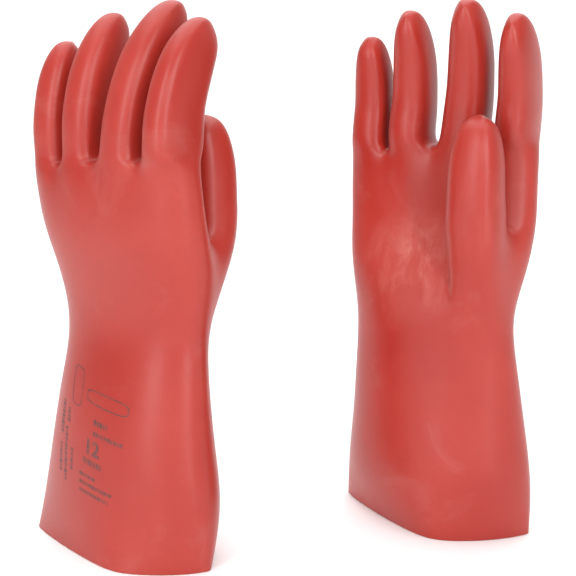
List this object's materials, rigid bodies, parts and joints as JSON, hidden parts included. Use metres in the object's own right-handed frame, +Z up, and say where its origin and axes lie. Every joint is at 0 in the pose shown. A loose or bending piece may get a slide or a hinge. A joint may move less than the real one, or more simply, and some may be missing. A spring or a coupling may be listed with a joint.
{
  "type": "pair of electrical insulating gloves",
  "caption": "Pair of long red rubber gauntlet gloves, left and right hand, standing on their flared open cuffs with fingers up; they keep electric shock off the hands.",
  "frame": {"origin": "centre of the pair on the surface that they stand on", "axes": "+Z up along the gloves from the cuffs to the fingertips, +X from the left-hand glove to the right-hand glove, -Y the side that both thumbs are turned to"},
  "size_m": [0.3405, 0.1543, 0.3594],
  "materials": {
    "left_cuff_rubber": "satin dipped natural rubber, red-brown",
    "left_wrist_rubber": "satin dipped natural rubber, red-brown",
    "left_palm_rubber": "satin dipped natural rubber, red-brown",
    "left_finger_roots_rubber": "satin dipped natural rubber, red-brown",
    "left_little_base_knuckle_rubber": "satin dipped natural rubber, red-brown",
    "left_ring_base_knuckle_rubber": "satin dipped natural rubber, red-brown",
    "left_middle_base_knuckle_rubber": "satin dipped natural rubber, red-brown",
    "left_index_base_knuckle_rubber": "satin dipped natural rubber, red-brown",
    "left_thumb_base_knuckle_rubber": "satin dipped natural rubber, red-brown",
    "left_little_lower_rubber": "satin dipped natural rubber, red-brown",
    "left_little_mid_knuckle_rubber": "satin dipped natural rubber, red-brown",
    "left_little_tip_rubber": "satin dipped natural rubber, red-brown",
    "left_ring_lower_rubber": "satin dipped natural rubber, red-brown",
    "left_ring_mid_knuckle_rubber": "satin dipped natural rubber, red-brown",
    "left_ring_tip_rubber": "satin dipped natural rubber, red-brown",
    "left_middle_lower_rubber": "satin dipped natural rubber, red-brown",
    "left_middle_mid_knuckle_rubber": "satin dipped natural rubber, red-brown",
    "left_middle_tip_rubber": "satin dipped natural rubber, red-brown",
    "left_index_lower_rubber": "satin dipped natural rubber, red-brown",
    "left_index_mid_knuckle_rubber": "satin dipped natural rubber, red-brown",
    "left_index_tip_rubber": "satin dipped natural rubber, red-brown",
    "left_thumb_lower_rubber": "satin dipped natural rubber, red-brown",
    "left_thumb_mid_knuckle_rubber": "satin dipped natural rubber, red-brown",
    "left_thumb_tip_rubber": "satin dipped natural rubber, red-brown",
    "right_cuff_rubber": "satin dipped natural rubber, red-brown",
    "right_wrist_rubber": "satin dipped natural rubber, red-brown",
    "right_palm_rubber": "satin dipped natural rubber, red-brown",
    "right_finger_roots_rubber": "satin dipped natural rubber, red-brown",
    "right_little_base_knuckle_rubber": "satin dipped natural rubber, red-brown",
    "right_ring_base_knuckle_rubber": "satin dipped natural rubber, red-brown",
    "right_middle_base_knuckle_rubber": "satin dipped natural rubber, red-brown",
    "right_index_base_knuckle_rubber": "satin dipped natural rubber, red-brown",
    "right_thumb_base_knuckle_rubber": "satin dipped natural rubber, red-brown",
    "right_little_lower_rubber": "satin dipped natural rubber, red-brown",
    "right_little_mid_knuckle_rubber": "satin dipped natural rubber, red-brown",
    "right_little_tip_rubber": "satin dipped natural rubber, red-brown",
    "right_ring_lower_rubber": "satin dipped natural rubber, red-brown",
    "right_ring_mid_knuckle_rubber": "satin dipped natural rubber, red-brown",
    "right_ring_tip_rubber": "satin dipped natural rubber, red-brown",
    "right_middle_lower_rubber": "satin dipped natural rubber, red-brown",
    "right_middle_mid_knuckle_rubber": "satin dipped natural rubber, red-brown",
    "right_middle_tip_rubber": "satin dipped natural rubber, red-brown",
    "right_index_lower_rubber": "satin dipped natural rubber, red-brown",
    "right_index_mid_knuckle_rubber": "satin dipped natural rubber, red-brown",
    "right_index_tip_rubber": "satin dipped natural rubber, red-brown",
    "right_thumb_lower_rubber": "satin dipped natural rubber, red-brown",
    "right_thumb_mid_knuckle_rubber": "satin dipped natural rubber, red-brown",
    "right_thumb_tip_rubber": "satin dipped natural rubber, red-brown"
  },
  "bodies": {
    "left_gauntlet": {"left_cuff": "left_cuff_rubber", "left_wrist": "left_wrist_rubber"},
    "left_hand": {"left_palm": "left_palm_rubber", "left_finger_roots": "left_finger_roots_rubber", "left_little_base_knuckle": "left_little_base_knuckle_rubber", "left_ring_base_knuckle": "left_ring_base_knuckle_rubber", "left_middle_base_knuckle": "left_middle_base_knuckle_rubber", "left_index_base_knuckle": "left_index_base_knuckle_rubber", "left_thumb_base_knuckle": "left_thumb_base_knuckle_rubber"},
    "left_little_lower_body": {"left_little_lower": "left_little_lower_rubber", "left_little_mid_knuckle": "left_little_mid_knuckle_rubber"},
    "left_little_tip_body": {"left_little_tip": "left_little_tip_rubber"},
    "left_ring_lower_body": {"left_ring_lower": "left_ring_lower_rubber", "left_ring_mid_knuckle": "left_ring_mid_knuckle_rubber"},
    "left_ring_tip_body": {"left_ring_tip": "left_ring_tip_rubber"},
    "left_middle_lower_body": {"left_middle_lower": "left_middle_lower_rubber", "left_middle_mid_knuckle": "left_middle_mid_knuckle_rubber"},
    "left_middle_tip_body": {"left_middle_tip": "left_middle_tip_rubber"},
    "left_index_lower_body": {"left_index_lower": "left_index_lower_rubber", "left_index_mid_knuckle": "left_index_mid_knuckle_rubber"},
    "left_index_tip_body": {"left_index_tip": "left_index_tip_rubber"},
    "left_thumb_lower_body": {"left_thumb_lower": "left_thumb_lower_rubber", "left_thumb_mid_knuckle": "left_thumb_mid_knuckle_rubber"},
    "left_thumb_tip_body": {"left_thumb_tip": "left_thumb_tip_rubber"},
    "right_gauntlet": {"right_cuff": "right_cuff_rubber", "right_wrist": "right_wrist_rubber"},
    "right_hand": {"right_palm": "right_palm_rubber", "right_finger_roots": "right_finger_roots_rubber", "right_little_base_knuckle": "right_little_base_knuckle_rubber", "right_ring_base_knuckle": "right_ring_base_knuckle_rubber", "right_middle_base_knuckle": "right_middle_base_knuckle_rubber", "right_index_base_knuckle": "right_index_base_knuckle_rubber", "right_thumb_base_knuckle": "right_thumb_base_knuckle_rubber"},
    "right_little_lower_body": {"right_little_lower": "right_little_lower_rubber", "right_little_mid_knuckle": "right_little_mid_knuckle_rubber"},
    "right_little_tip_body": {"right_little_tip": "right_little_tip_rubber"},
    "right_ring_lower_body": {"right_ring_lower": "right_ring_lower_rubber", "right_ring_mid_knuckle": "right_ring_mid_knuckle_rubber"},
    "right_ring_tip_body": {"right_ring_tip": "right_ring_tip_rubber"},
    "right_middle_lower_body": {"right_middle_lower": "right_middle_lower_rubber", "right_middle_mid_knuckle": "right_middle_mid_knuckle_rubber"},
    "right_middle_tip_body": {"right_middle_tip": "right_middle_tip_rubber"},
    "right_index_lower_body": {"right_index_lower": "right_index_lower_rubber", "right_index_mid_knuckle": "right_index_mid_knuckle_rubber"},
    "right_index_tip_body": {"right_index_tip": "right_index_tip_rubber"},
    "right_thumb_lower_body": {"right_thumb_lower": "right_thumb_lower_rubber", "right_thumb_mid_knuckle": "right_thumb_mid_knuckle_rubber"},
    "right_thumb_tip_body": {"right_thumb_tip": "right_thumb_tip_rubber"}
  },
  "joints": [
    {"name": "left_wrist_bend", "type": "hinge", "parent": "left_gauntlet", "child": "left_hand", "pos_m": [-0.0943, -0.0149, 0.133], "axis": [-0.7986, 0.6018, 0], "range_deg": [-25, 40], "stiffness_Nm_per_rad": 4, "deforming": ["left_wrist"]},
    {"name": "left_little_base_bend", "type": "hinge", "parent": "left_hand", "child": "left_little_lower_body", "pos_m": [-0.1416, 0.0128, 0.268], "axis": [-0.8003, 0.5986, 0.0347], "range_deg": [-12, 55], "stiffness_Nm_per_rad": 0.15, "deforming": ["left_little_base_knuckle"]},
    {"name": "left_little_mid_bend", "type": "hinge", "parent": "left_little_lower_body", "child": "left_little_tip_body", "pos_m": [-0.1406, 0.0123, 0.2962], "axis": [-0.795, 0.6056, 0.0345], "range_deg": [-6, 55], "stiffness_Nm_per_rad": 0.06, "deforming": ["left_little_mid_knuckle"]},
    {"name": "left_ring_base_bend", "type": "hinge", "parent": "left_hand", "child": "left_ring_lower_body", "pos_m": [-0.1173, -0.0033, 0.2725], "axis": [-0.8002, 0.5957, 0.0695], "range_deg": [-12, 55], "stiffness_Nm_per_rad": 0.15, "deforming": ["left_ring_base_knuckle"]},
    {"name": "left_ring_mid_bend", "type": "hinge", "parent": "left_ring_lower_body", "child": "left_ring_tip_body", "pos_m": [-0.1144, -0.0035, 0.3048], "axis": [-0.7877, 0.6123, 0.0681], "range_deg": [-6, 55], "stiffness_Nm_per_rad": 0.06, "deforming": ["left_ring_mid_knuckle"]},
    {"name": "left_middle_base_bend", "type": "hinge", "parent": "left_hand", "child": "left_middle_lower_body", "pos_m": [-0.0893, -0.0286, 0.2761], "axis": [-0.7898, 0.6011, 0.1218], "range_deg": [-12, 50], "stiffness_Nm_per_rad": 0.15, "deforming": ["left_middle_base_knuckle"]},
    {"name": "left_middle_mid_bend", "type": "hinge", "parent": "left_middle_lower_body", "child": "left_middle_tip_body", "pos_m": [-0.0819, -0.0267, 0.3117], "axis": [-0.7689, 0.6289, 0.1153], "range_deg": [-6, 50], "stiffness_Nm_per_rad": 0.06, "deforming": ["left_middle_mid_knuckle"]},
    {"name": "left_index_base_bend", "type": "hinge", "parent": "left_hand", "child": "left_index_lower_body", "pos_m": [-0.0603, -0.0493, 0.2776], "axis": [-0.7977, 0.5999, 0.061], "range_deg": [-12, 42], "stiffness_Nm_per_rad": 0.15, "deforming": ["left_index_base_knuckle"]},
    {"name": "left_index_mid_bend", "type": "hinge", "parent": "left_index_lower_body", "child": "left_index_tip_body", "pos_m": [-0.0562, -0.0474, 0.3079], "axis": [-0.7857, 0.6159, 0.058], "range_deg": [-6, 50], "stiffness_Nm_per_rad": 0.06, "deforming": ["left_index_mid_knuckle"]},
    {"name": "left_thumb_base_bend", "type": "hinge", "parent": "left_hand", "child": "left_thumb_lower_body", "pos_m": [-0.0439, -0.0103, 0.215], "axis": [-0.7781, -0.62, 0.1007], "range_deg": [-15, 30], "stiffness_Nm_per_rad": 0.2, "deforming": ["left_thumb_base_knuckle"]},
    {"name": "left_thumb_mid_bend", "type": "hinge", "parent": "left_thumb_lower_body", "child": "left_thumb_tip_body", "pos_m": [-0.0428, -0.0089, 0.2488], "axis": [-0.1987, -0.98, -0.007], "range_deg": [-6, 35], "stiffness_Nm_per_rad": 0.06, "deforming": ["left_thumb_mid_knuckle"]},
    {"name": "right_glove_lift", "type": "slide", "parent": "left_gauntlet", "child": "right_gauntlet", "axis": [0, 0, 1], "range_m": [0, 0.4]},
    {"name": "right_wrist_bend", "type": "hinge", "parent": "right_gauntlet", "child": "right_hand", "pos_m": [0.1036, 0.0191, 0.133], "axis": [0.8788, -0.4772, 0], "range_deg": [-25, 40], "stiffness_Nm_per_rad": 4, "deforming": ["right_wrist"]},
    {"name": "right_little_base_bend", "type": "hinge", "parent": "right_hand", "child": "right_little_lower_body", "pos_m": [0.0587, 0.0507, 0.268], "axis": [0.8766, -0.48, -0.0347], "range_deg": [-12, 55], "stiffness_Nm_per_rad": 0.15, "deforming": ["right_little_base_knuckle"]},
    {"name": "right_little_mid_bend", "type": "hinge", "parent": "right_little_lower_body", "child": "right_little_tip_body", "pos_m": [0.0595, 0.05, 0.2962], "axis": [0.8808, -0.4723, -0.0345], "range_deg": [-6, 55], "stiffness_Nm_per_rad": 0.06, "deforming": ["right_little_mid_knuckle"]},
    {"name": "right_ring_base_bend", "type": "hinge", "parent": "right_hand", "child": "right_ring_lower_body", "pos_m": [0.0834, 0.0353, 0.2725], "axis": [0.8739, -0.4811, -0.0695], "range_deg": [-12, 55], "stiffness_Nm_per_rad": 0.15, "deforming": ["right_ring_base_knuckle"]},
    {"name": "right_ring_mid_bend", "type": "hinge", "parent": "right_ring_lower_body", "child": "right_ring_tip_body", "pos_m": [0.0848, 0.0327, 0.3048], "axis": [0.8838, -0.4628, -0.0681], "range_deg": [-6, 55], "stiffness_Nm_per_rad": 0.06, "deforming": ["right_ring_mid_knuckle"]},
    {"name": "right_middle_base_bend", "type": "hinge", "parent": "right_hand", "child": "right_middle_lower_body", "pos_m": [0.1181, 0.0203, 0.2761], "axis": [0.8746, -0.4694, -0.1218], "range_deg": [-12, 50], "stiffness_Nm_per_rad": 0.15, "deforming": ["right_middle_base_knuckle"]},
    {"name": "right_middle_mid_bend", "type": "hinge", "parent": "right_middle_lower_body", "child": "right_middle_tip_body", "pos_m": [0.1194, 0.0128, 0.3117], "axis": [0.8911, -0.4389, -0.1153], "range_deg": [-6, 50], "stiffness_Nm_per_rad": 0.06, "deforming": ["right_middle_mid_knuckle"]},
    {"name": "right_index_base_bend", "type": "hinge", "parent": "right_hand", "child": "right_index_lower_body", "pos_m": [0.1489, 0.0025, 0.2776], "axis": [0.8767, -0.4771, -0.061], "range_deg": [-12, 42], "stiffness_Nm_per_rad": 0.15, "deforming": ["right_index_base_knuckle"]},
    {"name": "right_index_mid_bend", "type": "hinge", "parent": "right_index_lower_body", "child": "right_index_tip_body", "pos_m": [0.1489, -0.002, 0.3079], "axis": [0.8863, -0.4595, -0.058], "range_deg": [-6, 50], "stiffness_Nm_per_rad": 0.06, "deforming": ["right_index_mid_knuckle"]},
    {"name": "right_thumb_base_bend", "type": "hinge", "parent": "right_hand", "child": "right_thumb_lower_body", "pos_m": [0.1203, -0.0286, 0.215], "axis": [-0.2415, -0.9652, -0.1007], "range_deg": [-15, 30], "stiffness_Nm_per_rad": 0.2, "deforming": ["right_thumb_base_knuckle"]},
    {"name": "right_thumb_mid_bend", "type": "hinge", "parent": "right_thumb_lower_body", "child": "right_thumb_tip_body", "pos_m": [0.1194, -0.0302, 0.2488], "axis": [-0.8094, -0.5872, 0.007], "range_deg": [-6, 35], "stiffness_Nm_per_rad": 0.06, "deforming": ["right_thumb_mid_knuckle"]}
  ]
}
